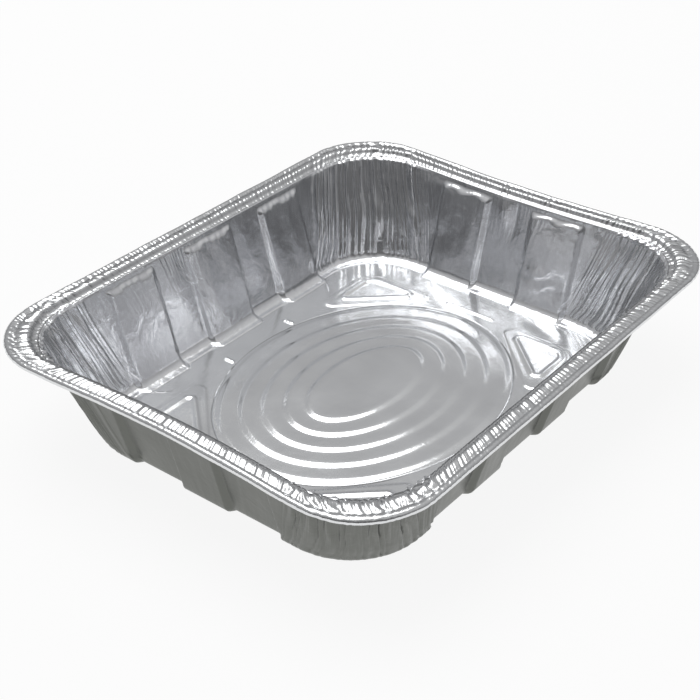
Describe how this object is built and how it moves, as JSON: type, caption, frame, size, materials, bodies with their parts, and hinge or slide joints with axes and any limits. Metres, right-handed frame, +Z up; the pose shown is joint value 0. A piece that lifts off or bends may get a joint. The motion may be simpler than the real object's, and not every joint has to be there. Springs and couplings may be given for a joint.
{
  "type": "foil roasting pan",
  "caption": "Rectangular pressed aluminium foil pan with rounded gathered corners, stepped wall panels, terraced floor and a rolled rim.",
  "frame": {"origin": "middle of the pan on the plane that the underside of the floor rests on", "axes": "+X along the long side, +Y along the short side, +Z up out of the pan's mouth"},
  "size_m": [0.324, 0.2636, 0.0635],
  "materials": {
    "foil": "bright rolled foil"
  },
  "bodies": {
    "root": {"foil_pan": "foil"}
  },
  "joints": []
}
